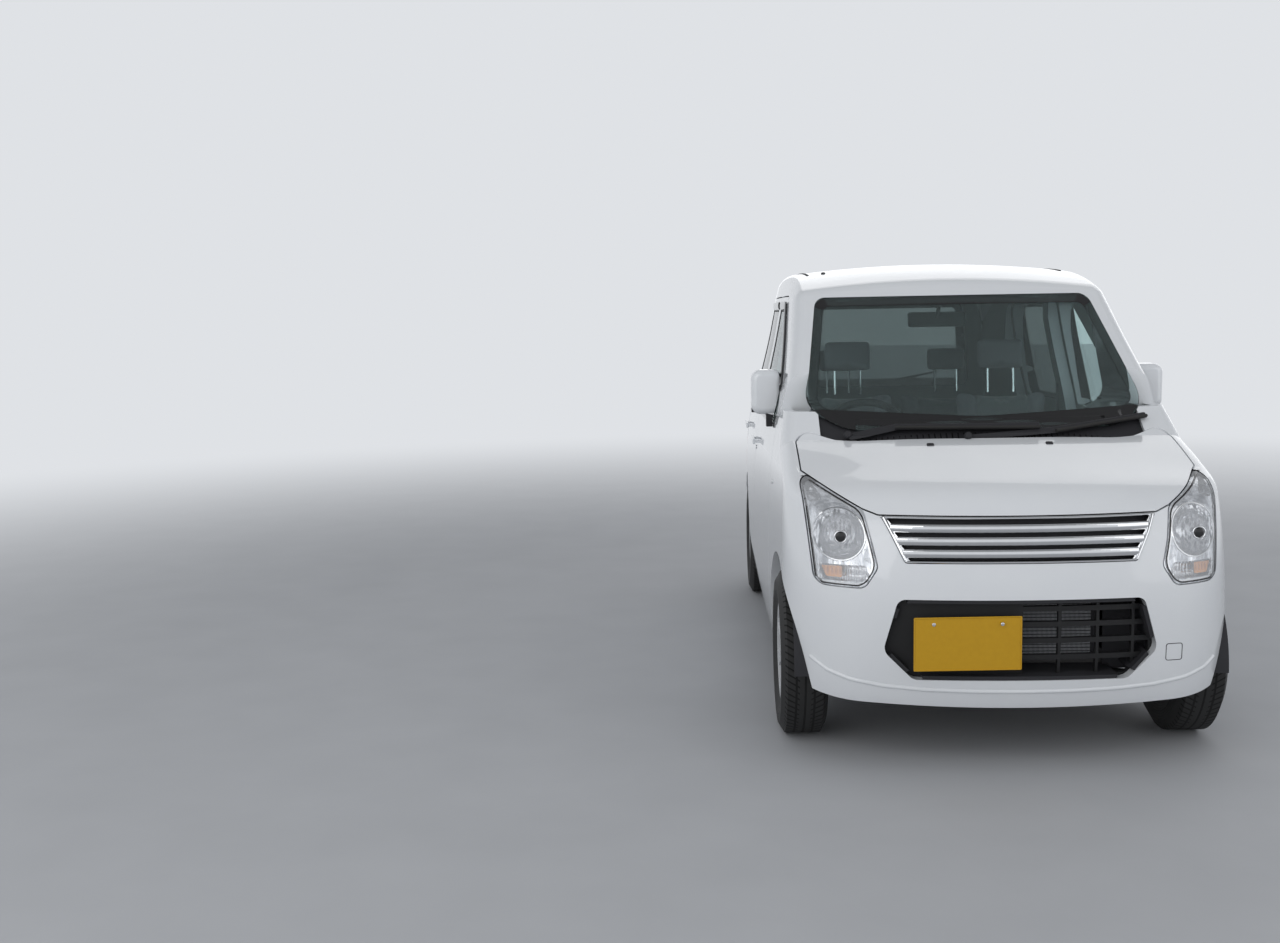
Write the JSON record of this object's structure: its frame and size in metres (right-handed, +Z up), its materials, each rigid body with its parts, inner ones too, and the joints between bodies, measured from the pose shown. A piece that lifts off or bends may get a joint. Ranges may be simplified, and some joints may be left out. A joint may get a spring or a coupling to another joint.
{
  "type": "kei car",
  "caption": "Tall five-door kei car with a short sloping bonnet, barred grille, angular clear lamps, opening doors, bonnet and tailgate, steered front wheels.",
  "frame": {"origin": "on the ground under the middle of the car, half way between the bumpers", "axes": "+Z up, +Y to the rear, +X to the car's left"},
  "size_m": [1.56, 3.3944, 1.6398],
  "materials": {
    "paint": "solid white gloss",
    "roof_paint": "solid white gloss",
    "black_plastic": "grained black",
    "chrome_trim": "bright plated",
    "clear_lens": "clear moulding",
    "lamp_inner": "aluminised reflector",
    "red_lens": "clear red moulding",
    "window": "green tinted",
    "privacy_window": "dark tinted",
    "rubber_black": "matt",
    "interior": "grained grey",
    "seat_cloth": "woven dark grey",
    "floor_metal": "underseal",
    "engine_metal": "cast",
    "pipe_metal": "heat stained",
    "chassis": "black paint",
    "cover_silver": "silver lacquer",
    "tyre": "moulded rubber"
  },
  "bodies": {
    "root": {"body_side_left": "paint", "body_side_right": "paint", "roof": "roof_paint", "front_fenders": "paint", "front_bumper": "paint", "rear_bumper": "paint", "upper_grille": "chrome_trim", "lower_grille": "black_plastic", "headlamps": "lamp_inner", "headlamp_lenses": "clear_lens", "cowl": "black_plastic", "windscreen": "window", "wipers": "black_plastic", "tail_lamps": "red_lens", "dashboard": "interior", "front_seats": "seat_cloth", "rear_seat": "seat_cloth", "floor_pan": "floor_metal", "arch_liners": "black_plastic", "engine": "engine_metal", "radiator": "engine_metal", "fuel_tank": "black_plastic", "exhaust": "pipe_metal", "rear_axle": "chassis", "front_subframe": "chassis", "seat_frames": "chassis", "front_aprons": "floor_metal"},
    "hood": {"hood": "paint"},
    "tailgate": {"tailgate": "paint", "tailgate_glass": "privacy_window"},
    "fuel_lid": {"fuel_lid": "paint"},
    "steering_wheel": {"steering_wheel": "rubber_black"},
    "front_door_left": {"front_door_left": "paint", "front_glass_left": "window", "mirror_left": "paint"},
    "rear_door_left": {"rear_door_left": "paint", "rear_glass_left": "privacy_window"},
    "knuckle_left": {"knuckle_left": "chassis"},
    "wheel_front_left": {"wheel_front_left": "cover_silver", "tyre_front_left": "tyre"},
    "wheel_rear_left": {"wheel_rear_left": "cover_silver", "tyre_rear_left": "tyre"},
    "front_door_right": {"front_door_right": "paint", "front_glass_right": "window", "mirror_right": "paint"},
    "rear_door_right": {"rear_door_right": "paint", "rear_glass_right": "privacy_window"},
    "knuckle_right": {"knuckle_right": "chassis"},
    "wheel_front_right": {"wheel_front_right": "cover_silver", "tyre_front_right": "tyre"},
    "wheel_rear_right": {"wheel_rear_right": "cover_silver", "tyre_rear_right": "tyre"}
  },
  "joints": [
    {"name": "front_door_left_hinge", "type": "hinge", "parent": "root", "child": "front_door_left", "pos_m": [0.71411, -0.7565, 0.645], "axis": [0.0175, 0, -0.9998], "range_deg": [0, 65]},
    {"name": "rear_door_left_hinge", "type": "hinge", "parent": "root", "child": "rear_door_left", "pos_m": [0.72142, 0.1785, 0.645], "axis": [0.0175, 0, -0.9998], "range_deg": [0, 75]},
    {"name": "front_door_right_hinge", "type": "hinge", "parent": "root", "child": "front_door_right", "pos_m": [-0.71411, -0.7565, 0.645], "axis": [0.0175, 0, 0.9998], "range_deg": [0, 65]},
    {"name": "rear_door_right_hinge", "type": "hinge", "parent": "root", "child": "rear_door_right", "pos_m": [-0.72142, 0.1785, 0.645], "axis": [0.0175, 0, 0.9998], "range_deg": [0, 75]},
    {"name": "steer_left", "type": "hinge", "parent": "root", "child": "knuckle_left", "pos_m": [0.5855, -1.1925, 0.2785], "axis": [-0.2079, 0, 0.9781], "range_deg": [-33, 33]},
    {"name": "steer_right", "type": "hinge", "parent": "root", "child": "knuckle_right", "pos_m": [-0.5855, -1.1925, 0.2785], "axis": [0.2079, 0, 0.9781], "range_deg": [-33, 33]},
    {"name": "steering_wheel_turn", "type": "hinge", "parent": "root", "child": "steering_wheel", "pos_m": [-0.33, -0.3975, 0.925], "axis": [0, 0.891, 0.454], "range_deg": [-530, 530]},
    {"name": "spin_front_left", "type": "hinge", "parent": "knuckle_left", "child": "wheel_front_left", "pos_m": [0.6475, -1.1925, 0.2785], "axis": [1, 0, 0], "continuous": true},
    {"name": "spin_rear_left", "type": "hinge", "parent": "root", "child": "wheel_rear_left", "pos_m": [0.645, 1.2325, 0.2785], "axis": [1, 0, 0], "continuous": true},
    {"name": "spin_front_right", "type": "hinge", "parent": "knuckle_right", "child": "wheel_front_right", "pos_m": [-0.6475, -1.1925, 0.2785], "axis": [1, 0, 0], "continuous": true},
    {"name": "spin_rear_right", "type": "hinge", "parent": "root", "child": "wheel_rear_right", "pos_m": [-0.645, 1.2325, 0.2785], "axis": [1, 0, 0], "continuous": true},
    {"name": "hood_hinge", "type": "hinge", "parent": "root", "child": "hood", "pos_m": [0, -0.96, 1.01], "axis": [-1, 0, 0], "range_deg": [0, 50]},
    {"name": "tailgate_hinge", "type": "hinge", "parent": "root", "child": "tailgate", "pos_m": [0, 1.437, 1.59561], "axis": [1, 0, 0], "range_deg": [0, 75]},
    {"name": "fuel_lid_hinge", "type": "hinge", "parent": "root", "child": "fuel_lid", "pos_m": [0.69523, 1.2665, 0.905], "axis": [0.1379, 0, -0.9904], "range_deg": [0, 90]}
  ],
  "couplings": [
    {"joint": "steer_right", "follows": "steer_left", "ratio": 1},
    {"joint": "steering_wheel_turn", "follows": "steer_left", "ratio": 16}
  ]
}
